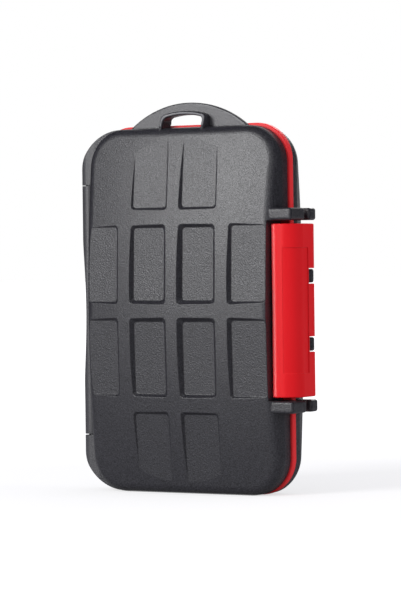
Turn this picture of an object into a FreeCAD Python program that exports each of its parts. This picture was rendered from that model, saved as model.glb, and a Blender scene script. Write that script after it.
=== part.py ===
import FreeCAD, Part
import math
import os
import re
import Sketcher

# A pocket case for memory cards, standing on its lower rims with the lid to the front.
# X runs from the hinge to the latch, Y from the lid to the base and Z up.
# The origin is on the standing plane, midway between the sides, in the plane where the shells part.

Vector = FreeCAD.Vector

SIZES = [
    # The two shells share one outer form.
    ("case_width", 65.7),
    ("case_height", 110.0),
    ("case_corner", 11.2),
    ("seal_thickness", 2.4),
    ("rim_band", 3.4),
    ("wall_draft", 10.0),
    ("crown_top", 13.0),
    ("crown_span", 110.0),
    ("crown_radius", 290.0),
    ("shoulder_round", 3.2),
    ("side_wall", 4.4),
    ("end_wall", 3.6),
    ("face_wall", 2.8),
    ("hollow_corner", 6.0),
    # Recessed panels on the crowned faces.
    ("panel_wide", 13.4),
    ("panel_tall", 24.6),
    ("panel_gap", 3.55),
    ("panel_shift", 0.9),
    ("panel_depth", 1.7),
    ("panel_draft", 40.0),
    ("panel_corner", 1.5),
    ("panel_floor_radius", 440.0),
    ("panel_side_radius", 1000.0),
    # Arched tab and lanyard loop on top of the lid.
    ("tab_radius", 31.5),
    ("tab_rise", 7.5),
    ("tab_thickness", 1.8),
    ("tab_back", 0.8),
    ("tab_edge", 0.4),
    ("loop_half_width", 7.8),
    ("loop_rise", 4.9),
    ("loop_arch", 26.0),
    ("loop_wall", 1.1),
    ("loop_front", 7.5),
    ("loop_corner", 1.5),
    ("loop_lean", 22.0),
    ("loop_shift", 0.3),
    ("loop_edge", 0.5),
    # Hinge on the left.
    ("hinge_radius", 2.5),
    ("hinge_out", 3.8),
    ("barrel_length", 76.2),
    ("barrel_lift", 0.1),
    ("hinge_end_gap", 0.3),
    ("leaf_arc", 15.2),
    ("hinge_pin_radius", 1.4),
    ("hinge_pin_seat", 6.0),
    ("hinge_pin_reach", 4.0),
    ("scallop_depth", 1.9),
    ("scallop_half_length", 25.0),
    # Latch on the right, its pin and the ears that guard its ends.
    ("latch_length", 51.2),
    ("latch_end_gap", 1.0),
    ("latch_wall", 1.8),
    ("latch_front", 8.6),
    ("latch_bend", 5.0),
    ("latch_lip", 2.2),
    ("latch_tip", 0.6),
    ("latch_brow", 4.0),
    ("latch_edge", 0.4),
    ("pivot_out", 3.85),
    ("pivot_back", 2.6),
    ("knuckle_radius", 2.4),
    ("lug_radius", 2.2),
    ("lug_height", 4.0),
    ("lug_spacing", 20.2),
    ("lug_edge", 0.6),
    ("notch_front", 2.8),
    ("thumb_flat_height", 37.0),
    ("thumb_flat_depth", 0.25),
    ("thumb_flat_rim", 0.35),
    ("latch_pin_radius", 0.8),
    ("latch_pin_length", 46.0),
    ("ear_reach", 5.4),
    ("ear_thickness", 3.65),
    ("ear_split", 0.6),
    ("lid_ear_front", 9.5),
    ("base_ear_front", 2.2),
    ("base_ear_back", 6.5),
    ("ear_edge", 0.8),
    # Seal between the shells.
    ("seal_width", 3.4),
    ("seal_proud_side", 0.8),
    ("seal_proud_top", 0.8),
    ("seal_edge", 0.5),
    # Card trays.
    ("tray_recess", 0.5),
    ("tray_rim", 1.2),
    ("card_wide", 24.6),
    ("card_tall", 32.4),
    ("card_web_across", 3.0),
    ("card_web_along", 1.2),
    ("card_depth", 2.4),
    ("card_corner", 1.2),
    ("scoop_radius", 7.0),
    # Clearances.
    ("fit_gap", 0.1),
    ("running_gap", 0.05),
    ("turning_gap", 0.3),
    ("pin_chamfer", 0.2),
]

# Places that several pieces share, written in terms of the sizes above.
HALF_WIDTH = "(case_width / 2)"
MID_HEIGHT = "(case_height / 2)"
RIM = "(seal_thickness / 2)"
HINGE_X = "(-case_width / 2 - hinge_out)"
LEAF_LENGTH = f"({MID_HEIGHT} - barrel_length / 2 - hinge_end_gap)"
LEAF_ARC = f"min(leaf_arc; {LEAF_LENGTH} - hinge_pin_reach / 4)"
BARREL_LOW = f"({MID_HEIGHT} + barrel_lift - barrel_length / 2)"
BARREL_HIGH = f"({MID_HEIGHT} + barrel_lift + barrel_length / 2)"
PIVOT_X = "(case_width / 2 + pivot_out)"
EAR_INNER = "(latch_length / 2 + latch_end_gap)"
LEDGE_X = "(case_width / 2 - latch_lip - turning_gap)"
LOOP_FOOT = "(case_height - end_wall / 2)"
SEAL_OUTSIDE = "(case_width / 2 + seal_proud_side + turning_gap)"

doc = FreeCAD.newDocument("memory_card_case")
sheet = doc.addObject("Spreadsheet::Sheet", "Sizes")
size = dict(SIZES)

# The crown's top is given for a case as long as crown_span. A longer case rises further in the middle, so that
# its ends keep their height.
CROWN_TOP = "(crown_top + sqrt(crown_radius^2 - (crown_span / 2)^2) - sqrt(crown_radius^2 - (case_height / 2)^2))"

# The wall between the rim band and the crown is least at the corners, and limits the fillet on the shoulder,
# which runs down that wall by a share of its radius.
CORNER_IN = "case_corner * (1 - cos(45))"
CORNER_REACH = f"(({HALF_WIDTH} - {CORNER_IN})^2 + ({MID_HEIGHT} - {CORNER_IN})^2)"
LEAST_WALL = f"({CROWN_TOP} - crown_radius + sqrt(crown_radius^2 - {CORNER_REACH}) - {RIM} - rim_band)"
FILLET_RUN = 0.68

# As many panels as start within the face, the outermost running out over its edge: four columns of four.
PANEL_COLUMNS = round(size["case_width"] / (size["panel_wide"] + size["panel_gap"]))
PANEL_ROWS = round(size["case_height"] / (size["panel_tall"] + size["panel_gap"]))

# As many card pockets as go between the walls with a rim of tray round them: two columns of three.
CARD_COLUMNS = int((size["case_width"] - 2 * (size["side_wall"] + size["fit_gap"] + size["tray_rim"])
                    + size["card_web_across"]) / (size["card_wide"] + size["card_web_across"]))
CARD_ROWS = int((size["case_height"] - 2 * (size["end_wall"] + size["fit_gap"] + size["tray_rim"])
                 + size["card_web_along"]) / (size["card_tall"] + size["card_web_along"]))
for row, (alias, number) in enumerate(SIZES, start=1):
    sheet.set(f"A{row}", alias)
    sheet.set(f"B{row}", str(number))
    sheet.setAlias(f"B{row}", alias)
doc.recompute()


def formula(text):
    """The text with each size's name pointing at its cell."""
    return re.sub(r"[a-z_]+", lambda m: f"Sizes.{m.group()}" if m.group() in size else m.group(), text)


def bind(item, **values):
    for name, text in values.items():
        item.setExpression(name, formula(text))


def place(item, x, y, z, turn="0; 0; 0"):
    """Puts an item at a point, turned by yaw, pitch and roll in degrees."""
    point = f"create(<<vector>>; {x}; {y}; {z})"
    item.setExpression("Placement", formula(f"create(<<placement>>; {point}; create(<<rotation>>; {turn}))"))


def block(name, x, y, z):
    """A box given by its low and high ends along each axis."""
    item = doc.addObject("Part::Box", name)
    bind(item, Length=f"({x[1]}) - ({x[0]})", Width=f"({y[1]}) - ({y[0]})", Height=f"({z[1]}) - ({z[0]})")
    place(item, x[0], y[0], z[0])
    return item


def upright_rod(name, x, y, z, radius):
    """A cylinder along Z, from the low to the high end of z."""
    item = doc.addObject("Part::Cylinder", name)
    bind(item, Radius=radius, Height=f"({z[1]}) - ({z[0]})")
    place(item, x, y, z[0])
    return item


def level_rod(name, x, y, z, radius):
    """A cylinder along Y, from the low to the high end of y."""
    item = doc.addObject("Part::Cylinder", name)
    bind(item, Radius=radius, Height=f"({y[1]}) - ({y[0]})")
    place(item, x, y[0], z, "0; 0; -90")
    return item


def fuse(name, items):
    joined = doc.addObject("Part::MultiFuse", name)
    joined.Shapes = items
    joined.Refine = True
    return joined


def common(name, items):
    shared = doc.addObject("Part::MultiCommon", name)
    shared.Shapes = items
    return shared


def cut(name, base, tools):
    piece = doc.addObject("Part::Cut", name)
    piece.Base = base
    piece.Tool = tools[0] if len(tools) == 1 else fuse(f"{name}_tools", tools)
    piece.Refine = True
    return piece


# Two roundings that meet over a thin wall leave a little of its edge flat.
WALL_SHARE = 0.46


def rounded(name, base, alias, wanted, wall=math.inf):
    """Rounds those edges of a piece that the test picks, by the radius of that name or as far as its wall lets it."""
    doc.recompute()
    item = doc.addObject("Part::Fillet", name)
    item.Base = base
    radius = min(sheet.get(alias), wall * WALL_SHARE)
    numbered = enumerate(base.Shape.Edges, start=1)
    item.Edges = [(number, radius, radius) for number, edge in numbered if wanted(edge)]
    return item


def runs_along(edge, axis):
    """True where an edge is straight and parallel to the axis."""
    if edge.Curve.TypeId != "Part::GeomLine":
        return False
    return abs(abs(edge.tangentAt(edge.FirstParameter).dot(axis)) - 1) < 1e-6


def edge_names(shape, wanted):
    return [f"Edge{number}" for number, edge in enumerate(shape.Edges, start=1) if wanted(edge)]


def sketch_on(body, role, name, x="0", y="0", rise="0"):
    """A sketch on one of the body's origin planes, moved within the plane and along its normal."""
    plane = next(item for item in body.Origin.OriginFeatures if item.Role == role)
    sketch = body.newObject("Sketcher::SketchObject", name)
    sketch.AttachmentSupport = [(plane, "")]
    sketch.MapMode = "FlatFace"
    offset = f"create(<<placement>>; create(<<vector>>; {x}; {y}; {rise}); create(<<rotation>>; 0; 0; 0))"
    sketch.setExpression("AttachmentOffset", formula(offset))
    return sketch


def measure(sketch, kind, *ends, drawn, value):
    """Adds a dimension to a sketch, as drawn at first, and ties it to the sizes."""
    number = sketch.addConstraint(Sketcher.Constraint(kind, *ends, drawn))
    sketch.setExpression(f"Constraints[{number}]", formula(value))


def draw_outline(sketch, width, height, corner):
    """A rounded rectangle about the sketch's origin."""
    half_x, half_y, round_by = 20.0, 30.0, 5.0
    corners = [(1, 1), (-1, 1), (-1, -1), (1, -1)]
    lines = []
    arcs = []
    for index, (sx, sy) in enumerate(corners):
        centre = Vector(sx * (half_x - round_by), sy * (half_y - round_by), 0)
        circle = Part.Circle(centre, Vector(0, 0, 1), round_by)
        angle = index * math.pi / 2
        arcs.append(sketch.addGeometry(Part.ArcOfCircle(circle, angle, angle + math.pi / 2), False))
    for index in range(4):
        start = sketch.getPoint(arcs[index], 2)
        end = sketch.getPoint(arcs[(index + 1) % 4], 1)
        lines.append(sketch.addGeometry(Part.LineSegment(start, end), False))
    for index in range(4):
        sketch.addConstraint(Sketcher.Constraint("Tangent", arcs[index], 2, lines[index], 1))
        sketch.addConstraint(Sketcher.Constraint("Tangent", lines[index], 2, arcs[(index + 1) % 4], 1))
        direction = "Horizontal" if index % 2 == 0 else "Vertical"
        sketch.addConstraint(Sketcher.Constraint(direction, lines[index]))
    for index in range(1, 4):
        sketch.addConstraint(Sketcher.Constraint("Equal", arcs[0], arcs[index]))
    top, left, bottom, right = lines
    measure(sketch, "Radius", arcs[0], drawn=round_by, value=corner)
    measure(sketch, "DistanceY", -1, 1, top, 1, drawn=half_y, value=f"({height}) / 2")
    measure(sketch, "DistanceY", bottom, 1, -1, 1, drawn=half_y, value=f"({height}) / 2")
    measure(sketch, "DistanceX", left, 1, -1, 1, drawn=half_x, value=f"({width}) / 2")
    measure(sketch, "DistanceX", -1, 1, right, 1, drawn=half_x, value=f"({width}) / 2")


def outline_on_rim_plane(body, name, width, height, corner, rise, x="0", z=MID_HEIGHT):
    """A rounded rectangle parallel to the rims; rise is its distance to the front of the parting plane."""
    sketch = sketch_on(body, "XZ_Plane", name, x, z, rise)
    draw_outline(sketch, width, height, corner)
    return sketch


def pad_forward(body, name, sketch, length, taper="0"):
    """Extends an outline to the front; a positive taper narrows it."""
    pad = body.newObject("PartDesign::Pad", name)
    pad.Profile = sketch
    bind(pad, Length=length, TaperAngle=f"-({taper})")
    return pad


def crown_the_front(body, name, inset):
    """Trims a body's front to the crown, a sphere whose apex lies inset behind that of the case."""
    sketch = sketch_on(body, "YZ_Plane", f"{name}_profile", f"crown_radius - {CROWN_TOP}", MID_HEIGHT)
    radius, reach, half = 210.0, 250.0, 60.0
    angle = math.asin(half / radius)
    high_end = Vector(-radius * math.cos(angle), half, 0)
    low_end = Vector(high_end.x, -half, 0)
    circle = Part.Circle(Vector(0, 0, 0), Vector(0, 0, 1), radius)
    dome = sketch.addGeometry(Part.ArcOfCircle(circle, math.pi - angle, math.pi + angle), False)
    top = sketch.addGeometry(Part.LineSegment(high_end, Vector(-reach, half, 0)), False)
    front = sketch.addGeometry(Part.LineSegment(Vector(-reach, half, 0), Vector(-reach, -half, 0)), False)
    bottom = sketch.addGeometry(Part.LineSegment(Vector(-reach, -half, 0), low_end), False)
    for joint in ((dome, 1, top, 1), (top, 2, front, 1), (front, 2, bottom, 1), (bottom, 2, dome, 2)):
        sketch.addConstraint(Sketcher.Constraint("Coincident", *joint))
    sketch.addConstraint(Sketcher.Constraint("Coincident", dome, 3, -1, 1))
    for line, direction in ((top, "Horizontal"), (front, "Vertical"), (bottom, "Horizontal")):
        sketch.addConstraint(Sketcher.Constraint(direction, line))
    measure(sketch, "Radius", dome, drawn=radius, value=f"crown_radius - ({inset})")
    measure(sketch, "DistanceX", front, 1, -1, 1, drawn=reach, value=f"crown_radius + {CROWN_TOP}")
    measure(sketch, "DistanceY", -1, 1, top, 1, drawn=half, value="case_height")
    measure(sketch, "DistanceY", bottom, 1, -1, 1, drawn=half, value="case_height")
    groove = body.newObject("PartDesign::Groove", name)
    groove.Profile = sketch
    groove.ReferenceAxis = (sketch, ["V_Axis"])
    groove.Angle = 360
    return groove


def make_shell_form():
    """The outside of a shell: a straight rim band, drafted walls, a crowned face and soft shoulders."""
    body = doc.addObject("PartDesign::Body", "shell_form")
    band_top = f"{RIM} + rim_band"
    rim = outline_on_rim_plane(body, "rim_outline", "case_width", "case_height", "case_corner", RIM)
    pad_forward(body, "rim_band_pad", rim, "rim_band")
    wall = outline_on_rim_plane(body, "wall_outline", "case_width", "case_height", "case_corner", band_top)
    pad_forward(body, "drafted_wall", wall, f"{CROWN_TOP} - ({band_top})", "wall_draft")
    groove = crown_the_front(body, "crown", "0")
    doc.recompute()
    dome = next(face for face in groove.Shape.Faces if face.Surface.TypeId == "Part::GeomSphere")

    def on_dome(edge):
        return any(edge.isSame(other) for other in dome.Edges)

    shoulder = body.newObject("PartDesign::Fillet", "shoulder")
    shoulder.Base = (groove, edge_names(groove.Shape, on_dome))
    bind(shoulder, Radius=f"min(shoulder_round; {LEAST_WALL} / {FILLET_RUN})")
    return body


def make_hollow(name, front, gap):
    """The space inside a shell from the given distance to the front, or the tray that fills it less a gap."""
    body = doc.addObject("PartDesign::Body", name)
    width = f"case_width - 2 * (side_wall + {gap})"
    height = f"case_height - 2 * (end_wall + {gap})"
    outline = outline_on_rim_plane(body, f"{name}_outline", width, height, f"hollow_corner - {gap}", front)
    pad_forward(body, f"{name}_pad", outline, f"{CROWN_TOP} - ({front})")
    crown_the_front(body, f"{name}_crown", f"face_wall + {gap}")
    return body


def is_slanted(edge):
    """True for the corner edges of a panel's wedge, which lean along both X and Z."""
    return min(edge.BoundBox.XLength, edge.BoundBox.ZLength) > size["panel_depth"] / 10


def make_panels(form):
    """Cuts the grid of recessed panels. Their floors follow flatter curves, so the outer ones fade away."""
    cells = []
    pitch_x = "(panel_wide + panel_gap)"
    pitch_z = "(panel_tall + panel_gap)"
    flattening_x = "(1 / (2 * crown_radius) - 1 / (2 * panel_side_radius))"
    flattening_z = "(1 / (2 * crown_radius) - 1 / (2 * panel_floor_radius))"
    for column in range(PANEL_COLUMNS):
        for row in range(PANEL_ROWS):
            if column in (0, PANEL_COLUMNS - 1) and row in (0, PANEL_ROWS - 1):
                continue
            steps_x = column - (PANEL_COLUMNS - 1) / 2
            steps_z = row - (PANEL_ROWS - 1) / 2
            near_x = f"({abs(steps_x)} * {pitch_x} - panel_wide / 2)"
            near_z = f"({abs(steps_z)} * {pitch_z} - panel_tall / 2)"
            depth = f"(panel_depth - {near_x}^2 * {flattening_x} - {near_z}^2 * {flattening_z})"
            middle_x, middle_z = f"({steps_x} * {pitch_x})", f"({steps_z} * {pitch_z})"
            drop = f"({middle_x}^2 / (2 * panel_side_radius) + {middle_z}^2 / (2 * panel_floor_radius))"
            level = f"(panel_depth + {drop})"
            rise = f"({depth} + panel_depth / 2)"
            floor_x = f"(panel_wide / 2 - {depth} * tan(panel_draft))"
            floor_z = f"(panel_tall / 2 - {depth} * tan(panel_draft))"
            spread = f"({rise} * tan(panel_draft))"
            cell = doc.addObject("Part::Wedge", f"panel_{column}_{row}_wedge")
            bind(cell, Ymin=f"-{rise}", Ymax="0")
            bind(cell, Xmin=f"-({floor_x} + {spread})", Xmax=f"{floor_x} + {spread}")
            bind(cell, Zmin=f"-({floor_z} + {spread})", Zmax=f"{floor_z} + {spread}")
            bind(cell, X2min=f"-{floor_x}", X2max=floor_x, Z2min=f"-{floor_z}", Z2max=floor_z)
            turn = f"{middle_x} / panel_side_radius * 180 / pi"
            tilt = f"-{middle_z} / panel_floor_radius * 180 / pi"
            spot = (f"{middle_x} - panel_shift", f"{level} - {CROWN_TOP}", f"{MID_HEIGHT} + {middle_z}")
            place(cell, *spot, f"{turn}; 0; {tilt}")
            cells.append(rounded(f"panel_{column}_{row}", cell, "panel_corner", is_slanted))
    return cut("panelled_form", form, cells)


def is_round(edge):
    return edge.Curve.TypeId == "Part::GeomCircle"


def make_tab():
    """The arched plate on top of the lid."""
    top = "(case_height + tab_rise)"
    depth = ("-tab_back - tab_thickness", "-tab_back")
    disc = level_rod("tab_disc", "0", depth, f"{top} - tab_radius", "tab_radius")
    above = block("tab_above", ("-tab_radius", "tab_radius"), depth, (LOOP_FOOT, top))
    return rounded("tab", common("tab_plate", [disc, above]), "tab_edge", is_round)


def make_arch(name, inset, front, back):
    """A block with an arched top: the lanyard loop, or the hole through it where inset is its wall."""
    top = "(case_height + loop_rise)"
    half = f"(loop_half_width - ({inset}))"
    disc = level_rod(f"{name}_disc", "-loop_shift", (front, back), f"{top} - loop_arch", f"loop_arch - ({inset})")
    sides = (f"-loop_shift - {half}", f"-loop_shift + {half}")
    post = block(f"{name}_post", sides, (front, back), (LOOP_FOOT, top))
    arch = common(f"{name}_arch", [disc, post])

    def at_top(edge):
        return runs_along(edge, Vector(0, 1, 0)) and edge.BoundBox.ZMin > size["case_height"] + size["loop_rise"] / 4

    return rounded(name, arch, "loop_corner", at_top)


def make_crest():
    """The tab with the lanyard loop in front of it. The loop's front leans back, and one hole goes through both."""
    loop = make_arch("loop", "0", "-loop_front", "-tab_back")
    hole = make_arch("loop_hole", "loop_wall", "-loop_front * 2", "0")
    lean = doc.addObject("Part::Box", "loop_lean")
    bind(lean, Length="loop_half_width * 3", Width="loop_front", Height="loop_rise * 4")
    place(lean, "loop_half_width * 1.5", "-loop_front", LOOP_FOOT, "180; 0; loop_lean")
    leaning_loop = cut("leaning_loop", loop, [hole, lean])
    doc.recompute()
    front = min(leaning_loop.Shape.Faces, key=lambda face: face.CenterOfMass.y)

    def on_front(edge):
        return any(edge.isSame(other) for other in front.Edges)

    soft_loop = rounded("soft_loop", leaning_loop, "loop_edge", on_front, size["loop_wall"])
    return fuse("crest", [cut("holed_tab", make_tab(), [hole]), soft_loop])


def is_ear_edge(edge):
    """True for the edges that reach an ear's outer end."""
    return edge.BoundBox.XMax > (size["case_width"] + size["ear_reach"]) / 2


def make_ears(name, y, lap_y=None):
    """A pair of ears beside the latch. A lap carries the ears on over the seal's edge."""
    ears = []
    reach = f"{HALF_WIDTH} + ear_reach"
    for place_name, side in (("upper", 1), ("lower", -1)):
        inner = f"{MID_HEIGHT} + {side} * {EAR_INNER}"
        outer = f"{MID_HEIGHT} + {side} * ({EAR_INNER} + ear_thickness)"
        z = (inner, outer) if side == 1 else (outer, inner)
        ear = block(f"{name}_{place_name}_block", (f"{HALF_WIDTH} - side_wall / 2", reach), y, z)
        if lap_y:
            lap = block(f"{name}_{place_name}_lap", (SEAL_OUTSIDE, reach), lap_y, z)
            ear = fuse(f"{name}_{place_name}_joined", [ear, lap])
        ears.append(rounded(f"{name}_{place_name}", ear, "ear_edge", is_ear_edge))
    return ears


def make_leaf(name, side):
    """A hinge leaf at a left corner of the lid: a round knuckle in a flange that sweeps into the corner."""
    end = "case_height" if side == 1 else "0"
    tip = f"{HINGE_X} - hinge_radius"
    face = f"{MID_HEIGHT} + {side} * (barrel_length / 2 + hinge_end_gap)"
    arc_z = f"{end} - {side} * {LEAF_ARC}"
    through = ("-hinge_radius", "hinge_radius")
    corner = level_rod(f"{name}_corner", f"{tip} + {LEAF_ARC}", through, arc_z, LEAF_ARC)
    straight_z = (MID_HEIGHT, arc_z) if side == 1 else (arc_z, MID_HEIGHT)
    straight = block(f"{name}_straight", (tip, f"{tip} + leaf_arc"), through, straight_z)
    span = (face, end) if side == 1 else (end, face)
    knuckle = upright_rod(f"{name}_knuckle", HINGE_X, "0", span, "hinge_radius")
    flange = block(f"{name}_flange", (HINGE_X, f"{tip} + leaf_arc"), ("-hinge_radius", f"-{RIM}"), span)
    outline = fuse(f"{name}_outline", [corner, straight])
    section = fuse(f"{name}_section", [knuckle, flange])
    return common(name, [outline, section])


def make_leaf_bore(name, side):
    """The hole for a hinge pin in a lid leaf, from the barrel's end face outwards."""
    face = f"{MID_HEIGHT} + {side} * barrel_length / 2"
    far = f"{face} + {side} * (hinge_end_gap + hinge_pin_reach + turning_gap)"
    span = (face, far) if side == 1 else (far, face)
    return upright_rod(name, HINGE_X, "0", span, "hinge_pin_radius + running_gap")


def make_front_shell(panelled, hollow):
    ears = make_ears("lid_ear", ("-lid_ear_front", f"-{RIM}"), ("-lid_ear_front", "-ear_split"))
    leaves = [make_leaf("upper_leaf", 1), make_leaf("lower_leaf", -1)]
    solid = fuse("front_solid", [panelled, make_crest(), *ears, *leaves])
    between_ears = (f"{MID_HEIGHT} - {EAR_INNER}", f"{MID_HEIGHT} + {EAR_INNER}")
    ledge = block("latch_ledge", (LEDGE_X, PIVOT_X), (f"-{CROWN_TOP}", "0"), between_ears)
    seal_top = "case_height + seal_proud_top + turning_gap"
    seal_room = block("seal_room", ("-tab_radius", "tab_radius"), (f"-{RIM}", "0"), (MID_HEIGHT, seal_top))
    bores = [make_leaf_bore("upper_leaf_bore", 1), make_leaf_bore("lower_leaf_bore", -1)]
    return cut("front_shell", solid, [hollow, ledge, seal_room, *bores])


def make_barrel():
    """The long middle knuckle on the base, hollowed by a shallow scallop along its outer side."""
    span = (BARREL_LOW, BARREL_HIGH)
    rod = upright_rod("barrel_rod", HINGE_X, "0", span, "hinge_radius")
    web = block("barrel_web", (HINGE_X, f"-{HALF_WIDTH} + side_wall / 2"), (RIM, "hinge_radius"), span)
    whole = fuse("barrel_whole", [rod, web])
    scallop_radius = "((scallop_half_length^2 + scallop_depth^2) / (2 * scallop_depth))"
    scallop_x = f"{HINGE_X} - hinge_radius + scallop_depth - {scallop_radius}"
    width = ("-hinge_radius * 2", "hinge_radius * 2")
    scallop = level_rod("scallop", scallop_x, width, MID_HEIGHT, scallop_radius)
    return cut("barrel", whole, [scallop])


def make_lugs():
    """The two lugs on the base that carry the latch."""
    lugs = []
    for name, side in (("upper_lug", 1), ("lower_lug", -1)):
        middle = f"{MID_HEIGHT} + {side} * lug_spacing / 2"
        span = (f"{middle} - lug_height / 2", f"{middle} + lug_height / 2")
        rod = upright_rod(f"{name}_rod", PIVOT_X, "pivot_back", span, "lug_radius")
        eye = rounded(f"{name}_eye", rod, "lug_edge", is_round)
        web_y = (RIM, "pivot_back + lug_radius")
        web = block(f"{name}_web", (f"{HALF_WIDTH} - side_wall / 2", PIVOT_X), web_y, span)
        lugs.append(fuse(name, [eye, web]))
    return lugs


def make_back_shell(panelled, hollow):
    form = mirrored("back_form", panelled)
    space = mirrored("back_hollow", hollow)
    ears = make_ears("base_ear", ("base_ear_front", "base_ear_back"))
    solid = fuse("back_solid", [form, make_barrel(), *make_lugs(), *ears])
    upper = (f"{BARREL_HIGH} - hinge_pin_seat", BARREL_HIGH)
    lower = (BARREL_LOW, f"{BARREL_LOW} + hinge_pin_seat")
    bores = [
        upright_rod("upper_barrel_bore", HINGE_X, "0", upper, "hinge_pin_radius"),
        upright_rod("lower_barrel_bore", HINGE_X, "0", lower, "hinge_pin_radius"),
        upright_rod("lug_bore", PIVOT_X, "pivot_back", latch_pin_span(), "latch_pin_radius"),
    ]
    return cut("back_shell", solid, [space, *bores])


def mirrored(name, source):
    """The same form for the other half of the case."""
    item = doc.addObject("Part::Mirroring", name)
    item.Source = source
    item.Normal = Vector(0, 1, 0)
    return item


def latch_pin_span():
    return (f"{MID_HEIGHT} - latch_pin_length / 2", f"{MID_HEIGHT} + latch_pin_length / 2")


def make_pin(name, x, y, span, radius):
    """A plain steel pin with broken edges."""
    rod = upright_rod(f"{name}_rod", x, y, span, radius)
    doc.recompute()
    pin = doc.addObject("Part::Chamfer", name)
    pin.Base = rod
    bevel = sheet.get("pin_chamfer")
    numbered = enumerate(rod.Shape.Edges, start=1)
    pin.Edges = [(number, bevel, bevel) for number, edge in numbered if is_round(edge)]
    return pin


def make_hinge_pins():
    reach = "(hinge_end_gap + hinge_pin_reach)"
    upper = (f"{BARREL_HIGH} - hinge_pin_seat", f"{BARREL_HIGH} + {reach}")
    lower = (f"{BARREL_LOW} - {reach}", f"{BARREL_LOW} + hinge_pin_seat")
    return [
        make_pin("upper_hinge_pin", HINGE_X, "0", upper, "hinge_pin_radius"),
        make_pin("lower_hinge_pin", HINGE_X, "0", lower, "hinge_pin_radius"),
    ]


def make_seal():
    """The soft ring between the rims, proud of them at the right and the top."""
    body = doc.addObject("PartDesign::Body", "seal_ring")
    width = "(case_width + seal_proud_side - turning_gap)"
    height = "(case_height + seal_proud_top)"
    middle_x = "(seal_proud_side + turning_gap) / 2"
    middle_z = f"{height} / 2"
    outer = outline_on_rim_plane(body, "seal_outer", width, height, "case_corner", "0", middle_x, middle_z)
    ring = body.newObject("PartDesign::Pad", "seal_pad")
    ring.Profile = outer
    ring.Midplane = True
    bind(ring, Length="seal_thickness")
    doc.recompute()
    edge = body.newObject("PartDesign::Fillet", "seal_edge")
    edge.Base = (ring, edge_names(ring.Shape, lambda item: item.BoundBox.YLength < 1e-6))
    bind(edge, Radius="seal_edge")
    hole_size = (f"{width} - 2 * seal_width", f"{height} - 2 * seal_width", "case_corner - seal_width")
    inner = outline_on_rim_plane(body, "seal_inner", *hole_size, "0", middle_x, middle_z)
    hole = body.newObject("PartDesign::Pocket", "seal_hole")
    hole.Profile = inner
    hole.Midplane = True
    hole.Type = "ThroughAll"
    return body


def draw_latch_section(sketch):
    """The latch seen from above: a lip with a soft brow, a bend, a side plate and the knuckle round its pin."""
    up = Vector(0, 0, 1)
    quarter = math.pi / 2
    wall, bend_radius, knuckle_radius = size["latch_wall"], size["latch_bend"], size["knuckle_radius"]
    pivot = Vector(size["case_width"] / 2 + size["pivot_out"], size["pivot_back"], 0)
    outer_x, front_y = pivot.x + knuckle_radius, -size["latch_front"]
    bend = Vector(outer_x - bend_radius, front_y + bend_radius, 0)
    brow_radius, tip_radius = size["latch_brow"], size["latch_tip"]
    tip = Vector(size["case_width"] / 2 - size["latch_lip"] + tip_radius, front_y + wall - tip_radius, 0)
    ahead = brow_radius - wall + tip_radius
    brow = tip + Vector(math.sqrt((brow_radius - tip_radius) ** 2 - ahead**2), ahead, 0)
    brow_end = 3 * quarter - math.acos(ahead / (brow_radius - tip_radius))
    throat_angle = 4 * quarter - math.acos(1 - wall / knuckle_radius)
    throat = Vector(outer_x - wall, pivot.y + knuckle_radius * math.sin(throat_angle), 0)

    def line(*ends):
        return sketch.addGeometry(Part.LineSegment(*(Vector(x, y, 0) for x, y in ends)), False)

    def arc(centre, radius, start, end):
        return sketch.addGeometry(Part.ArcOfCircle(Part.Circle(centre, up, radius), start, end), False)

    front = line((brow.x, front_y), (bend.x, front_y))
    outer = arc(bend, bend_radius, -quarter, 0)
    side = line((outer_x, bend.y), (outer_x, pivot.y))
    knuckle = arc(pivot, knuckle_radius, 0, throat_angle)
    inside = line((throat.x, throat.y), (throat.x, bend.y))
    inner = arc(bend, bend_radius - wall, -quarter, 0)
    under = line((bend.x, front_y + wall), (tip.x, front_y + wall))
    lip = arc(tip, tip_radius, quarter, brow_end)
    slope = arc(brow, brow_radius, brow_end, 3 * quarter)
    smooth = [
        (front, 2, outer, 1),
        (outer, 2, side, 1),
        (side, 2, knuckle, 1),
        (inside, 2, inner, 2),
        (inner, 1, under, 1),
        (under, 2, lip, 1),
        (lip, 2, slope, 1),
        (slope, 2, front, 1),
    ]
    for joint in smooth:
        sketch.addConstraint(Sketcher.Constraint("Tangent", *joint))
    sketch.addConstraint(Sketcher.Constraint("Coincident", knuckle, 2, inside, 1))
    sketch.addConstraint(Sketcher.Constraint("Coincident", outer, 3, inner, 3))
    for piece, direction in ((front, "Horizontal"), (under, "Horizontal"), (side, "Vertical"), (inside, "Vertical")):
        sketch.addConstraint(Sketcher.Constraint(direction, piece))
    measure(sketch, "DistanceX", -1, 1, knuckle, 3, drawn=pivot.x, value=PIVOT_X)
    measure(sketch, "DistanceY", -1, 1, knuckle, 3, drawn=pivot.y, value="pivot_back")
    measure(sketch, "Radius", knuckle, drawn=knuckle_radius, value="knuckle_radius")
    measure(sketch, "DistanceY", front, 1, -1, 1, drawn=-front_y, value="latch_front")
    measure(sketch, "Radius", outer, drawn=bend_radius, value="latch_bend")
    measure(sketch, "DistanceX", inside, 2, side, 1, drawn=wall, value="latch_wall")
    measure(sketch, "Radius", lip, drawn=tip_radius, value="latch_tip")
    measure(sketch, "Radius", slope, drawn=brow_radius, value="latch_brow")
    measure(sketch, "DistanceX", -1, 1, lip, 3, drawn=tip.x, value=f"{HALF_WIDTH} - latch_lip + latch_tip")


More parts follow.
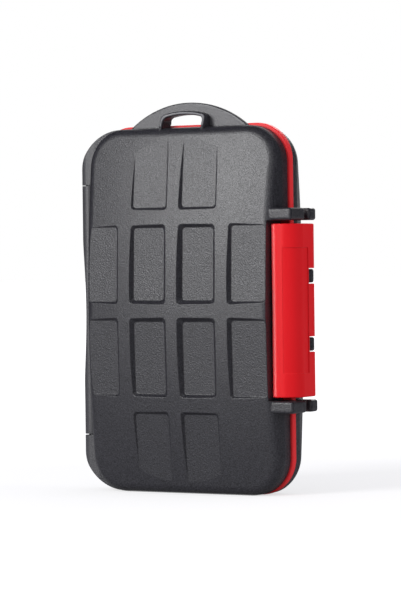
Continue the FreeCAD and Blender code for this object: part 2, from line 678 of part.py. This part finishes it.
def make_thumb_flat():
    """The shallow recess for the thumb: the latch's own outside moved inwards, so that it fades out round the bend."""
    outside = f"({PIVOT_X} + knuckle_radius)"
    floor_x = f"({outside} - thumb_flat_depth)"
    bend_x, bend_y = f"({floor_x} - latch_bend)", "(latch_bend - latch_front)"
    back = "pivot_back - notch_front - thumb_flat_rim"
    span = (f"{MID_HEIGHT} - thumb_flat_height / 2", f"{MID_HEIGHT} + thumb_flat_height / 2")
    around = (f"{bend_x} + latch_bend / 6", f"{outside} + thumb_flat_depth")
    room = block("thumb_room", around, ("-latch_front - thumb_flat_depth", back), span)
    bend = upright_rod("thumb_bend", bend_x, bend_y, span, "latch_bend")
    side = block("thumb_side", (bend_x, floor_x), (bend_y, "pivot_back"), span)
    return cut("thumb_flat", room, [bend, side])


def make_latch():
    body = doc.addObject("PartDesign::Body", "latch_form")
    low = f"{MID_HEIGHT} - latch_length / 2"
    sketch = sketch_on(body, "XY_Plane", "latch_section", rise=low)
    draw_latch_section(sketch)
    pad = body.newObject("PartDesign::Pad", "latch_pad")
    pad.Profile = sketch
    bind(pad, Length="latch_length")
    doc.recompute()
    ends = body.newObject("PartDesign::Fillet", "latch_ends")
    ends.Base = (pad, edge_names(pad.Shape, lambda edge: edge.BoundBox.ZLength < 1e-6))
    bind(ends, Radius="latch_edge")
    tools = []
    for name, side in (("upper_notch", 1), ("lower_notch", -1)):
        middle = f"{MID_HEIGHT} + {side} * lug_spacing / 2"
        half = "(lug_height / 2 + turning_gap)"
        span = (f"{middle} - {half}", f"{middle} + {half}")
        across = (f"{PIVOT_X} - knuckle_radius * 2", f"{PIVOT_X} + knuckle_radius * 2")
        along = ("pivot_back - notch_front", "pivot_back + knuckle_radius * 2")
        tools.append(block(name, across, along, span))
    tools.append(make_thumb_flat())
    low_pin, high_pin = latch_pin_span()
    bore_span = (f"{low_pin} - turning_gap", f"{high_pin} + turning_gap")
    tools.append(upright_rod("latch_bore", PIVOT_X, "pivot_back", bore_span, "latch_pin_radius + running_gap"))
    return cut("latch", body, tools)


def make_tray():
    """A soft insert that fills the hollow, with six card pockets and a finger scoop between each pair."""
    face = f"{RIM} + tray_recess"
    body = make_hollow("lid_tray", face, "fit_gap")
    low_z = f"{MID_HEIGHT} - (card_tall + card_web_along) * {(CARD_ROWS - 1) / 2}"
    left_x = f"-(card_wide + card_web_across) * {(CARD_COLUMNS - 1) / 2}"
    card = ("card_wide", "card_tall", "card_corner")
    outline = outline_on_rim_plane(body, "card_outline", *card, face, left_x, low_z)
    pocket = body.newObject("PartDesign::Pocket", "card_pocket")
    pocket.Profile = outline
    pocket.Reversed = True
    bind(pocket, Length="card_depth")
    doc.recompute()
    cards = body.newObject("PartDesign::LinearPattern", "card_grid")
    cards.Originals = [pocket]
    cards.Direction = (outline, ["H_Axis"])
    cards.Direction2 = (outline, ["V_Axis"])
    cards.Occurrences = CARD_COLUMNS
    cards.Occurrences2 = CARD_ROWS
    bind(cards, Length=f"(card_wide + card_web_across) * {max(CARD_COLUMNS - 1, 1)}")
    bind(cards, Length2=f"(card_tall + card_web_along) * {max(CARD_ROWS - 1, 1)}")
    body.Tip = cards
    doc.recompute()
    ring = sketch_on(body, "XZ_Plane", "scoop_outline", "0", low_z, face)
    circle = ring.addGeometry(Part.Circle(Vector(0, 0, 0), Vector(0, 0, 1), size["scoop_radius"]), False)
    ring.addConstraint(Sketcher.Constraint("Coincident", circle, 3, -1, 1))
    measure(ring, "Radius", circle, drawn=size["scoop_radius"], value="scoop_radius")
    scoop = body.newObject("PartDesign::Pocket", "scoop")
    scoop.Profile = ring
    scoop.Reversed = True
    bind(scoop, Length="card_depth")
    doc.recompute()
    scoops = body.newObject("PartDesign::LinearPattern", "scoop_row")
    scoops.Originals = [scoop]
    scoops.Direction = (ring, ["V_Axis"])
    scoops.Occurrences = CARD_ROWS
    bind(scoops, Length=f"(card_tall + card_web_along) * {max(CARD_ROWS - 1, 1)}")
    body.Tip = scoops
    return body


panelled_form = make_panels(make_shell_form())
hollow_form = make_hollow("hollow", RIM, "0")
front_shell = make_front_shell(panelled_form, hollow_form)
back_shell = make_back_shell(panelled_form, hollow_form)
lid_tray = make_tray()
base_tray = mirrored("base_tray", lid_tray)
pieces = [front_shell, back_shell, make_seal(), lid_tray, base_tray, make_latch()]
pieces += make_hinge_pins()
pieces.append(make_pin("latch_pin", PIVOT_X, "pivot_back", latch_pin_span(), "latch_pin_radius"))
doc.recompute()

for item in doc.Objects:
    if {"Invalid", "Error"} & set(item.State):
        raise RuntimeError(f"{item.Label} could not be made")
for piece in pieces:
    if piece.Shape.isNull() or not piece.Shape.isValid():
        raise RuntimeError(f"{piece.Label} has no sound shape")
    if len(piece.Shape.Solids) != 1:
        raise RuntimeError(f"{piece.Label} is {len(piece.Shape.Solids)} solids")

os.makedirs("parts", exist_ok=True)
for piece in pieces:
    piece.Shape.exportStep(f"parts/{piece.Label}.step")
    print(f"{piece.Label}: {piece.Shape.Volume / 1000:.2f} cm3")
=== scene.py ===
import math

import bpy
from mathutils import Matrix, Vector


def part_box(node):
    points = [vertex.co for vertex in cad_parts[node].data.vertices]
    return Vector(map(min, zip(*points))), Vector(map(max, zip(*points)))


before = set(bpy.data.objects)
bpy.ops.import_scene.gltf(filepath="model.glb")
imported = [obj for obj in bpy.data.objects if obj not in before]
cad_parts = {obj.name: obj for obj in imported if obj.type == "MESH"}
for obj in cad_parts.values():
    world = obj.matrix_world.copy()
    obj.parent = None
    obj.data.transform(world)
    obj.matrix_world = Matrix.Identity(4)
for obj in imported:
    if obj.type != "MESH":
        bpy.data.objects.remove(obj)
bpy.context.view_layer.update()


# The back shell is the half of the case that carries the hinge barrel, the seal and the latch.
# It is one moulding in charcoal plastic, with a fine grain etched into the mould.
# The crowned half and its walls are grained, and what stands out beyond the rim is smoother and paler, the
# paler colour being painted sheen.
def start_finish(name):
    """A new finish with its node tree and its surface shader."""
    finish = bpy.data.materials.new(name)
    finish.use_nodes = True
    tree = finish.node_tree
    return finish, tree, tree.nodes["Principled BSDF"]


def feed(socket, value):
    """Links an input from another socket, or sets its value. A colour is given as three numbers."""
    if isinstance(value, bpy.types.NodeSocket):
        socket.id_data.links.new(value, socket)
    elif socket.type == "RGBA":
        socket.default_value = (*value, 1.0)
    else:
        socket.default_value = value


def feed_in_turn(node, *values):
    """Feeds a node's first inputs, in their order."""
    for socket, value in zip(node.inputs, values):
        feed(socket, value)


def put(tree, kind, **settings):
    """One node in a tree. A setting that isn't the node's own names one of its inputs."""
    node = tree.nodes.new(kind)
    for name, value in settings.items():
        if hasattr(node, name):
            setattr(node, name, value)
        else:
            feed(node.inputs[name.replace("_", " ")], value)
    return node


def combine(tree, operation, first, second):
    """A Math node on two numbers or sockets."""
    node = put(tree, "ShaderNodeMath", operation=operation)
    feed_in_turn(node, first, second)
    return node.outputs["Value"]


def stretch(tree, value, begin, end, first=0.0, last=1.0):
    """A value between two ends, stretched on to another range and held there."""
    limits = {"From_Min": begin, "From_Max": end, "To_Min": first, "To_Max": last}
    return put(tree, "ShaderNodeMapRange", Value=value, **limits).outputs["Result"]


def grade(tree, share, first, last):
    """One number going over into another by a share from 0 to 1."""
    return stretch(tree, share, 0.0, 1.0, first, last)


def blend_colours(tree, share, first, last):
    """One colour going over into another by a share from 0 to 1."""
    node = put(tree, "ShaderNodeMix", data_type="RGBA")
    sockets = {socket.identifier: socket for socket in (*node.inputs, *node.outputs)}
    feed(sockets["Factor_Float"], share)
    feed(sockets["A_Color"], first)
    feed(sockets["B_Color"], last)
    return sockets["Result_Color"]


def emboss(tree, shader, height, strength, depth, edges=None):
    """Presses a height into a finish as a bump, over its rounded edges where it has them."""
    bump = put(tree, "ShaderNodeBump", Strength=strength, Distance=depth, Height=height)
    if edges:
        feed(bump.inputs["Normal"], edges.outputs["Normal"])
    feed(shader.inputs["Normal"], bump.outputs["Normal"])


def start_group(name, inputs, outputs):
    """An empty node group with its named sockets, and its input and output nodes."""
    group = bpy.data.node_groups.new(name, "ShaderNodeTree")
    for way, sockets in (("INPUT", inputs), ("OUTPUT", outputs)):
        for label, kind in sockets.items():
            group.interface.new_socket(label, in_out=way, socket_type=f"NodeSocket{kind}")
    return group, group.nodes.new("NodeGroupInput"), group.nodes.new("NodeGroupOutput")


def use_group(tree, group, **values):
    """A node group placed in a finish with its own values."""
    return put(tree, "ShaderNodeGroup", node_tree=group, **values)


def make_grain_group():
    """Fine etched grain: a height for the bump and a speckle for colour and gloss."""
    inputs = {"Position": "Vector", "Pits per metre": "Float"}
    outputs = {"Height": "Float", "Speckle": "Float"}
    group, given, result = start_group("etched grain", inputs, outputs)
    place = given.outputs["Position"]
    scale = given.outputs["Pits per metre"]
    cloud = put(group, "ShaderNodeTexNoise", Vector=place, Scale=scale, Detail=3.0, Roughness=0.6)
    pits = put(group, "ShaderNodeTexVoronoi", Vector=place, Scale=scale, feature="SMOOTH_F1")
    deep = stretch(group, pits.outputs["Distance"], begin=0.1, end=0.7)
    soft = stretch(group, cloud.outputs["Fac"], begin=0.3, end=0.7)
    feed(result.inputs["Height"], combine(group, "MULTIPLY", combine(group, "ADD", deep, soft), 0.5))
    feed(result.inputs["Speckle"], soft)
    return group


def make_edge_group():
    """Edges rubbed by handling: a mask along them, and the normal of the edge as rounded."""
    inputs = {"Position": "Vector", "Radius": "Float"}
    outputs = {"Rubbed": "Float", "Normal": "Vector"}
    group, given, result = start_group("rubbed edges", inputs, outputs)
    rounded = put(group, "ShaderNodeBevel", samples=6, Radius=given.outputs["Radius"])
    flat = group.nodes.new("ShaderNodeNewGeometry")
    match = put(group, "ShaderNodeVectorMath", operation="DOT_PRODUCT")
    feed_in_turn(match, rounded.outputs["Normal"], flat.outputs["Normal"])
    edge = stretch(group, match.outputs["Value"], begin=1.0, end=0.93)
    patches = put(group, "ShaderNodeTexNoise", Vector=given.outputs["Position"], Scale=160.0, Detail=4.0)
    patchy = stretch(group, patches.outputs["Fac"], begin=0.35, end=0.65, first=0.25)
    feed(result.inputs["Rubbed"], combine(group, "MULTIPLY", edge, patchy))
    feed(result.inputs["Normal"], rounded.outputs["Normal"])
    return group


def make_handling_group():
    """The faint uneven film that hands leave on moulded parts, as one slow mask."""
    group, given, result = start_group("handling film", {"Position": "Vector"}, {"Film": "Float"})
    place = given.outputs["Position"]
    slow = put(group, "ShaderNodeTexNoise", Vector=place, Scale=45.0, Detail=5.0, Roughness=0.55)
    feed(result.inputs["Film"], stretch(group, slow.outputs["Fac"], begin=0.3, end=0.7))
    return group


etched_grain = make_grain_group()
rubbed_edges = make_edge_group()
handling_film = make_handling_group()

SHELL_CHARCOAL = (0.0025, 0.0025, 0.0045)
SHELL_CHARCOAL_PALE = (0.044, 0.0435, 0.0515)
SHELL_CHARCOAL_WORN = (0.035, 0.035, 0.037)
# The leaf, tab and loop shades are paler copies of the charcoal: painted sheen, and on the loop's front a
# painted highlight.
SHELL_LEAF_PAINTED_SHEEN = (0.068, 0.0674, 0.073)
SHELL_TAB_PAINTED_SHEEN = (0.084, 0.0831, 0.089)
SHELL_LOOP_PAINTED_HIGHLIGHT = (0.186, 0.185, 0.195)
SHELL_PITS_PER_METRE = 2600.0
SHELL_GRAIN_STRENGTH = 0.5
SHELL_GRAIN_DEPTH = 0.00009
SHELL_SMOOTH_GRAIN = 0.6
SHELL_SMOOTH_SPECKLE = 0.4
SHELL_EDGE_RADIUS = 0.0004
SHELL_EDGE_WEAR = 0.45
SHELL_DULL = 0.415
SHELL_SHINY = 0.31
SHELL_FILM = 0.03
BACK_SMOOTH_AND_SHEEN_SHARE = 0.8

# Where the tab, the loop and the leaves begin. The tab and the loop get their painted sheen only where they
# face the front.
SHELL_BLEND = 0.0003
SHELL_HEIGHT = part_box("back_shell")[1].z
TAB_FOOT = SHELL_HEIGHT + SHELL_BLEND
TAB_SIDE_NORMAL = -0.8
TAB_FRONT_NORMAL = -0.92
LOOP_FOOT = -0.0028
LEAF_OFF_SEAL = 0.00065
LEAF_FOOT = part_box("seal_ring")[0].x - LEAF_OFF_SEAL


def make_shell_finish(name, smooth_and_sheen_share):
    """Charcoal plastic with etched grain, by a share smoother on the tab, loop and hinge side, and paler
    there as painted sheen.
    """
    finish, tree, shader = start_finish(name)
    spot = tree.nodes.new("ShaderNodeTexCoord")
    place = spot.outputs["Object"]
    grain = use_group(tree, etched_grain, Position=place, Pits_per_metre=SHELL_PITS_PER_METRE)
    edges = use_group(tree, rubbed_edges, Position=place, Radius=SHELL_EDGE_RADIUS)
    film = use_group(tree, handling_film, Position=place)
    speckle = grain.outputs["Speckle"]

    axes = put(tree, "ShaderNodeSeparateXYZ", Vector=place)
    above = stretch(tree, axes.outputs["Z"], TAB_FOOT, TAB_FOOT + SHELL_BLEND, last=smooth_and_sheen_share)
    beside = stretch(tree, axes.outputs["X"], LEAF_FOOT, LEAF_FOOT - SHELL_BLEND, last=smooth_and_sheen_share)
    raised = stretch(tree, axes.outputs["Y"], LOOP_FOOT, LOOP_FOOT - SHELL_BLEND)
    # The facing mask lays the painted sheen of the tab and loop only on faces turned to the front.
    facing = put(tree, "ShaderNodeSeparateXYZ", Vector=spot.outputs["Normal"])
    painted_sheen_facing = stretch(tree, facing.outputs["Y"], TAB_SIDE_NORMAL, TAB_FRONT_NORMAL)

    faint = combine(tree, "MULTIPLY", speckle, SHELL_SMOOTH_SPECKLE)
    speckled = blend_colours(tree, speckle, SHELL_CHARCOAL, SHELL_CHARCOAL_PALE)
    # Painted sheen: the leaves, tab and loop take lighter copies of the charcoal, the loop's front lightest
    # as a painted highlight.
    leaf_painted_sheen = blend_colours(tree, faint, SHELL_LEAF_PAINTED_SHEEN, SHELL_CHARCOAL)
    crest_painted_sheen = blend_colours(tree, raised, SHELL_TAB_PAINTED_SHEEN, SHELL_LOOP_PAINTED_HIGHLIGHT)
    crest_painted_sheen = blend_colours(tree, faint, crest_painted_sheen, SHELL_CHARCOAL)
    skin = blend_colours(tree, beside, speckled, leaf_painted_sheen)
    skin = blend_colours(tree, combine(tree, "MULTIPLY", above, painted_sheen_facing), skin, crest_painted_sheen)
    rub = combine(tree, "MULTIPLY", edges.outputs["Rubbed"], SHELL_EDGE_WEAR)
    feed(shader.inputs["Base Color"], blend_colours(tree, rub, skin, SHELL_CHARCOAL_WORN))

    touched = combine(tree, "MULTIPLY", film.outputs["Film"], SHELL_FILM)
    dullness = grade(tree, speckle, SHELL_DULL, SHELL_SHINY)
    feed(shader.inputs["Roughness"], combine(tree, "ADD", dullness, touched))
    smooth = combine(tree, "MAXIMUM", above, beside)
    height = combine(tree, "MULTIPLY", grain.outputs["Height"], grade(tree, smooth, 1.0, SHELL_SMOOTH_GRAIN))
    emboss(tree, shader, height, SHELL_GRAIN_STRENGTH, SHELL_GRAIN_DEPTH, edges)
    return finish


def dress(node, finish):
    """Gives a CAD node its finish."""
    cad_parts[node].material_slots[0].material = finish


dress("back_shell", make_shell_finish("charcoal plastic back", BACK_SMOOTH_AND_SHEEN_SHARE))


# The base tray is a soft insert with six card pockets, pressed into the back shell.
# It is moulded in dark rubber with a dry, slightly dusty surface.
TRAY_RUBBER = (0.03, 0.03, 0.032)
TRAY_RUBBER_PALE = (0.075, 0.075, 0.078)
TRAY_PITS_PER_METRE = 3200.0
TRAY_GRAIN_STRENGTH = 0.3
TRAY_GRAIN_DEPTH = 0.00004
TRAY_EDGE_RADIUS = 0.0004
TRAY_EDGE_WEAR = 0.5
TRAY_DUST = 0.3
TRAY_SHINY = 0.66
TRAY_DULL = 0.78

tray_rubber, tree, shader = start_finish("tray rubber")
place = tree.nodes.new("ShaderNodeTexCoord").outputs["Object"]
grain = use_group(tree, etched_grain, Position=place, Pits_per_metre=TRAY_PITS_PER_METRE)
edges = use_group(tree, rubbed_edges, Position=place, Radius=TRAY_EDGE_RADIUS)
film = use_group(tree, handling_film, Position=place)
dusty = combine(tree, "MULTIPLY", film.outputs["Film"], TRAY_DUST)
skin = blend_colours(tree, dusty, TRAY_RUBBER, TRAY_RUBBER_PALE)
rub = combine(tree, "MULTIPLY", edges.outputs["Rubbed"], TRAY_EDGE_WEAR)
feed(shader.inputs["Base Color"], blend_colours(tree, rub, skin, TRAY_RUBBER_PALE))
feed(shader.inputs["Roughness"], grade(tree, grain.outputs["Speckle"], TRAY_SHINY, TRAY_DULL))
emboss(tree, shader, grain.outputs["Height"], TRAY_GRAIN_STRENGTH, TRAY_GRAIN_DEPTH, edges)
dress("base_tray", tray_rubber)


# The seal ring lies on the back shell's rim and shows as a red line between the halves.
# It is soft silicone, satin and smooth, moulded in one piece.
SEAL_RED = (0.8, 0.024, 0.03)
SEAL_RED_DEEP = (0.7, 0.018, 0.023)
SEAL_PITS_PER_METRE = 4200.0
SEAL_GRAIN_STRENGTH = 0.12
SEAL_GRAIN_DEPTH = 0.00003
SEAL_SHINY = 0.42
SEAL_DULL = 0.52
SEAL_SPECULAR = 0.3

seal_silicone, tree, shader = start_finish("seal silicone")
place = tree.nodes.new("ShaderNodeTexCoord").outputs["Object"]
grain = use_group(tree, etched_grain, Position=place, Pits_per_metre=SEAL_PITS_PER_METRE)
film = use_group(tree, handling_film, Position=place)
feed(shader.inputs["Base Color"], blend_colours(tree, film.outputs["Film"], SEAL_RED_DEEP, SEAL_RED))
feed(shader.inputs["Roughness"], grade(tree, grain.outputs["Speckle"], SEAL_SHINY, SEAL_DULL))
feed(shader.inputs["Specular IOR Level"], SEAL_SPECULAR)
emboss(tree, shader, grain.outputs["Height"], SEAL_GRAIN_STRENGTH, SEAL_GRAIN_DEPTH)
dress("seal_ring", seal_silicone)


# Two short steel pins are pressed into the ends of the hinge barrel, and the lid's leaves turn on them.
# They are cut from blackened drawn wire, so fine lines run along them.
PIN_STEEL = (0.12, 0.12, 0.125)
PIN_STEEL_DULL = (0.07, 0.07, 0.074)
PIN_LINES_PER_METRE = (9000.0, 9000.0, 60.0)
PIN_LINE_STRENGTH = 0.15
PIN_LINE_DEPTH = 0.00002
PIN_SHINY = 0.24
PIN_DULL = 0.4

pin_steel, tree, shader = start_finish("drawn steel")
place = tree.nodes.new("ShaderNodeTexCoord").outputs["Object"]
drawn = put(tree, "ShaderNodeMapping", Vector=place, Scale=PIN_LINES_PER_METRE)
lines = put(tree, "ShaderNodeTexNoise", Vector=drawn.outputs["Vector"], Scale=1.0, Detail=2.0)
film = use_group(tree, handling_film, Position=place)
feed(shader.inputs["Base Color"], blend_colours(tree, film.outputs["Film"], PIN_STEEL_DULL, PIN_STEEL))
dullness = stretch(tree, lines.outputs["Fac"], begin=0.3, end=0.7, first=PIN_SHINY, last=PIN_DULL)
feed(shader.inputs["Roughness"], dullness)
feed(shader.inputs["Metallic"], 1.0)
emboss(tree, shader, lines.outputs["Fac"], PIN_LINE_STRENGTH, PIN_LINE_DEPTH)
dress("upper_hinge_pin", pin_steel)
dress("lower_hinge_pin", pin_steel)


# The front shell is the lid, with the tab and the lanyard loop on top and a hinge leaf at each left corner.
# It is moulded in the same charcoal plastic as the back. Its tab, loop and leaves are smoother, and their
# paler colour is painted sheen, with a painted highlight on the loop's front.
FRONT_SMOOTH_AND_SHEEN_SHARE = 1.0

dress("front_shell", make_shell_finish("charcoal plastic front", FRONT_SMOOTH_AND_SHEEN_SHARE))


# The lid tray is the same insert as the base's, pressed into the lid.
# It comes from the same mould and the same dark rubber.
dress("lid_tray", tray_rubber)


# The latch pin carries the latch in the two lugs of the back shell.
# It is blackened steel like the hinge pins.
dress("latch_pin", pin_steel)


# The latch is a wrap-round clip that swings on its pin and hooks over the lid's edge.
# It is moulded in bright red plastic with a smooth, semi-gloss surface, and has faint flow marks.
LATCH_RED = (0.715, 0.0125, 0.018)
LATCH_RED_DEEP = (0.68, 0.0105, 0.015)
LATCH_RED_WORN = (0.76, 0.05, 0.052)
LATCH_PITS_PER_METRE = 5200.0
LATCH_GRAIN_STRENGTH = 0.08
LATCH_GRAIN_DEPTH = 0.00003
LATCH_EDGE_RADIUS = 0.0002
LATCH_EDGE_WEAR = 0.35
LATCH_MARKS_PER_METRE = (90.0, 90.0, 35.0)
LATCH_SHINY = 0.3
LATCH_DULL = 0.36
LATCH_SPECULAR = 0.1

latch_plastic, tree, shader = start_finish("red latch plastic")
place = tree.nodes.new("ShaderNodeTexCoord").outputs["Object"]
grain = use_group(tree, etched_grain, Position=place, Pits_per_metre=LATCH_PITS_PER_METRE)
edges = use_group(tree, rubbed_edges, Position=place, Radius=LATCH_EDGE_RADIUS)
film = use_group(tree, handling_film, Position=place)
flow = put(tree, "ShaderNodeMapping", Vector=place, Scale=LATCH_MARKS_PER_METRE)
marks = put(tree, "ShaderNodeTexNoise", Vector=flow.outputs["Vector"], Scale=1.0, Detail=1.5)
streaks = stretch(tree, marks.outputs["Fac"], begin=0.25, end=0.75)
skin = blend_colours(tree, streaks, LATCH_RED_DEEP, LATCH_RED)
rub = combine(tree, "MULTIPLY", edges.outputs["Rubbed"], LATCH_EDGE_WEAR)
feed(shader.inputs["Base Color"], blend_colours(tree, rub, skin, LATCH_RED_WORN))
feed(shader.inputs["Roughness"], grade(tree, film.outputs["Film"], LATCH_SHINY, LATCH_DULL))
feed(shader.inputs["Specular IOR Level"], LATCH_SPECULAR)
emboss(tree, shader, grain.outputs["Height"], LATCH_GRAIN_STRENGTH, LATCH_GRAIN_DEPTH, edges)
dress("latch", latch_plastic)


# The stage is a pale floor under a white surround.
# The floor shows white, straight or mirrored, and still takes the case's shadow.
FLOOR_RADIUS = 6.0
FLOOR_SHADE = 0.42
FLOOR_ROUGHNESS = 0.9
FLOOR_GLOW_NEAR = 0.64
FLOOR_GLOW_FAR = 1.0
FLOOR_NEAR = 0.12
FLOOR_FAR = 0.5
SURROUND_SHADE = (0.56, 0.555, 0.61)
WHITE = (1.0, 1.0, 1.0)


def make_dull(shader, shade, roughness):
    """Gives a surface one grey shade and no gloss."""
    feed(shader.inputs["Base Color"], (shade, shade, shade))
    feed(shader.inputs["Roughness"], roughness)
    feed(shader.inputs["Specular IOR Level"], 0.0)


def plainly_seen(tree):
    """1 for what the camera sees, straight, mirrored or through glass, and 0 for rays that only light."""
    path = tree.nodes.new("ShaderNodeLightPath")
    mirrored = combine(tree, "MAXIMUM", path.outputs["Is Camera Ray"], path.outputs["Is Glossy Ray"])
    return combine(tree, "MAXIMUM", mirrored, path.outputs["Is Transmission Ray"])


bpy.ops.mesh.primitive_circle_add(vertices=128, radius=FLOOR_RADIUS, fill_type="NGON", location=(0, 0, 0))
floor = bpy.context.active_object
floor.name = "floor"
floor_paper, tree, shader = start_finish("floor paper")
make_dull(shader, FLOOR_SHADE, FLOOR_ROUGHNESS)
place = tree.nodes.new("ShaderNodeTexCoord").outputs["Object"]
away = put(tree, "ShaderNodeVectorMath", operation="LENGTH", Vector=place).outputs["Value"]
whiter = stretch(tree, away, FLOOR_NEAR, FLOOR_FAR, FLOOR_GLOW_NEAR, FLOOR_GLOW_FAR)
strength = combine(tree, "MULTIPLY", plainly_seen(tree), whiter)
glow = put(tree, "ShaderNodeEmission", Color=WHITE, Strength=strength)
both = tree.nodes.new("ShaderNodeAddShader")
feed_in_turn(both, shader.outputs["BSDF"], glow.outputs["Emission"])
feed(tree.nodes["Material Output"].inputs["Surface"], both.outputs["Shader"])
floor.data.materials.append(floor_paper)

surround = bpy.data.worlds.new("white surround")
bpy.context.scene.world = surround
surround.use_nodes = True
tree = surround.node_tree
sky = blend_colours(tree, plainly_seen(tree), SURROUND_SHADE, WHITE)
feed(tree.nodes["Background"].inputs["Color"], sky)


# Soft boxes light the case from the front, above and to the left, and from behind, where the lid gets a wash
# without a glint on its rim. A weak fill on the latch's side lightens its reds, and two strip lamps light the
# latch's lip and draw a line down it. The strips shine through the lid, whose edge would shade the lip.
CASE_MIDDLE = Vector((0.0, 0.0, SHELL_HEIGHT / 2))
REAR_PLACE = {"azimuth": 205.0, "elevation": 38.0, "distance": 1.2, "width": 0.9, "height": 0.7}
STRIP_PLACE = {"elevation": 3.0, "distance": 0.7, "width": 0.12, "height": 0.5}


def way_out(azimuth, elevation):
    """The way from the case to what stands round it. Azimuth 0 is the lid's side, and 90 the latch's."""
    turn = math.radians(azimuth)
    rise = math.radians(elevation)
    return Vector((math.sin(turn) * math.cos(rise), -math.cos(turn) * math.cos(rise), math.sin(rise)))


def hang_soft_box(name, azimuth, elevation, distance, width, height, watts, mirrored=True):
    """A rectangular lamp that faces the case."""
    lamp = bpy.data.lights.new(name, "AREA")
    lamp.shape = "RECTANGLE"
    lamp.size = width
    lamp.size_y = height
    lamp.energy = watts
    box = bpy.data.objects.new(name, lamp)
    bpy.context.scene.collection.objects.link(box)
    out = way_out(azimuth, elevation)
    box.location = CASE_MIDDLE + out * distance
    box.rotation_euler = (-out).to_track_quat("-Z", "Y").to_euler()
    box.visible_glossy = mirrored
    return box


def gather(name, nodes):
    """A collection of the named pieces, for a lamp."""
    pieces = bpy.data.collections.new(name)
    for node in nodes:
        pieces.objects.link(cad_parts[node])
    return pieces


hang_soft_box("front soft box", azimuth=-22.0, elevation=19.8, distance=1.2,
              width=0.45, height=0.62, watts=11.2)
rear_box = hang_soft_box("rear soft box", **REAR_PLACE, watts=9.0)
rear_wash = hang_soft_box("rear wash", **REAR_PLACE, watts=12.0, mirrored=False)
hang_soft_box("fill at the latch side", azimuth=100.0, elevation=10.0, distance=1.0,
              width=0.5, height=0.5, watts=3.3, mirrored=False)
strip_lamp = hang_soft_box("strip lamp", azimuth=-66.0, **STRIP_PLACE, watts=7.0)
strip_lamp.visible_diffuse = False
strip_glow = hang_soft_box("strip glow", azimuth=-72.0, **STRIP_PLACE, watts=2.6, mirrored=False)

all_but_lid = gather("all but the lid", [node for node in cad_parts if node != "front_shell"])
latch_alone = gather("latch alone", ["latch"])
rear_box.light_linking.receiver_collection = all_but_lid
rear_wash.light_linking.receiver_collection = gather("lid alone", ["front_shell"])
for strip in (strip_lamp, strip_glow):
    strip.light_linking.receiver_collection = latch_alone
    strip.light_linking.blocker_collection = all_but_lid


# Black cards stand at both sides and hang overhead, out of the picture, and a grey one lies on the floor.
# They are cut from felt, so that the dark shells mirror something dull and stay crisp against the white.
FELT_BLACK = 0.004
FELT_GREY = 0.42
FELT_ROUGHNESS = 1.0
FELT_THICKNESS = 0.0004


def cut_felt(name, shade):
    """Felt of one shade."""
    felt, _, shader = start_finish(name)
    make_dull(shader, shade, FELT_ROUGHNESS)
    return felt


def stand_card(name, felt, azimuth, elevation, distance, width, height):
    """A card that faces the case and shows only in its reflections."""
    out = way_out(azimuth, elevation)
    bpy.ops.mesh.primitive_plane_add(size=1.0, location=CASE_MIDDLE + out * distance)
    card = bpy.context.active_object
    card.name = name
    card.scale = (width, height, 1.0)
    card.rotation_euler = out.to_track_quat("Z", "Y").to_euler()
    card.data.materials.append(felt)
    card.visible_camera = card.visible_diffuse = card.visible_shadow = False
    card.visible_transmission = card.visible_volume_scatter = False


black_felt = cut_felt("black felt", FELT_BLACK)
grey_felt = cut_felt("grey felt", FELT_GREY)
stand_card("card on the latch side", black_felt, azimuth=108.0, elevation=10.0, distance=0.6,
           width=2.1, height=1.2)
stand_card("card on the hinge side", black_felt, azimuth=-88.0, elevation=12.0, distance=0.6,
           width=1.2, height=1.0)
stand_card("card overhead", black_felt, azimuth=0.0, elevation=90.0, distance=0.6, width=1.0, height=1.0)
stand_card("card on the floor", grey_felt, azimuth=0.0, elevation=-90.0,
           distance=CASE_MIDDLE.z - FELT_THICKNESS, width=1.4, height=1.4)


# The camera stands to the right of the lid, level with the case, as in the photograph.
# It has a long lens and a slight roll.
CAMERA_AZIMUTH = 30.0
CAMERA_ELEVATION = 1.0
CAMERA_ROLL = 0.0122
CAMERA_DISTANCE = 0.884
CAMERA_AIM = Vector((0.00195, 0.0, 0.0579))
CAMERA_SENSOR = 36.0
CAMERA_LENS = 263.2
CAMERA_NEAREST = 0.01

lens = bpy.data.cameras.new("camera")
lens.sensor_fit = "HORIZONTAL"
lens.sensor_width = CAMERA_SENSOR
lens.lens = CAMERA_LENS
lens.clip_start = CAMERA_NEAREST
camera = bpy.data.objects.new("camera", lens)
bpy.context.scene.collection.objects.link(camera)
bpy.context.scene.camera = camera
look = -way_out(CAMERA_AZIMUTH, CAMERA_ELEVATION)
right = look.cross(Vector((0.0, 0.0, 1.0))).normalized()
up = (right.cross(look) + CAMERA_ROLL * right).normalized()
right = look.cross(up).normalized()
pose = Matrix((right, up, -look)).transposed().to_4x4()
pose.translation = CAMERA_AIM - look * CAMERA_DISTANCE
camera.matrix_world = pose

bpy.context.scene.view_settings.view_transform = "Standard"
